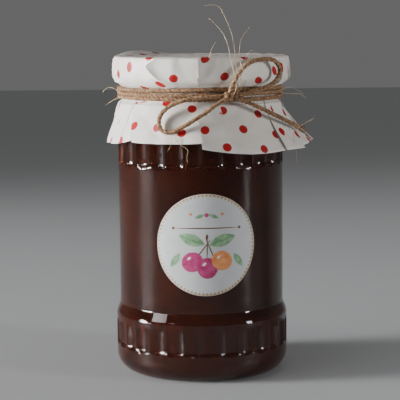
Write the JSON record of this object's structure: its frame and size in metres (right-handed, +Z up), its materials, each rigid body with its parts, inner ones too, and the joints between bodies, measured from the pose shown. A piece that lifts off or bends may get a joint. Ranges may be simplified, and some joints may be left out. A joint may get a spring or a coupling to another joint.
{
  "type": "jar of jelly",
  "caption": "Closed fluted glass jar of dark fruit jelly with a round label and a dotted paper cover tied on with twine.",
  "frame": {"origin": "middle of the flat underside of the glass, on the jar's axis", "axes": "+Z up along the jar's axis, -Y towards the front where the round label is, +X to the right as seen from the front"},
  "size_m": [0.1035, 0.104, 0.1835],
  "materials": {
    "glass": "clear and smooth",
    "jelly": "dark reddish brown, wet and glossy",
    "lid_metal": "pale lacquer, satin",
    "cover_paper": "crisp off-white paper printed with red dots, matte",
    "label_paper": "off-white printed paper, matte",
    "twine": "twisted jute, fibrous and matte"
  },
  "bodies": {
    "root": {"jar": "glass", "jelly": "jelly", "lid": "lid_metal", "cover": "cover_paper", "label": "label_paper", "twine_band": "twine", "twine_knot": "twine", "twine_loop_upper": "twine", "twine_loop_lower": "twine", "twine_tail": "twine", "twine_fibre_tall": "twine", "twine_fibre_left": "twine", "twine_fibre_right": "twine"}
  },
  "joints": []
}
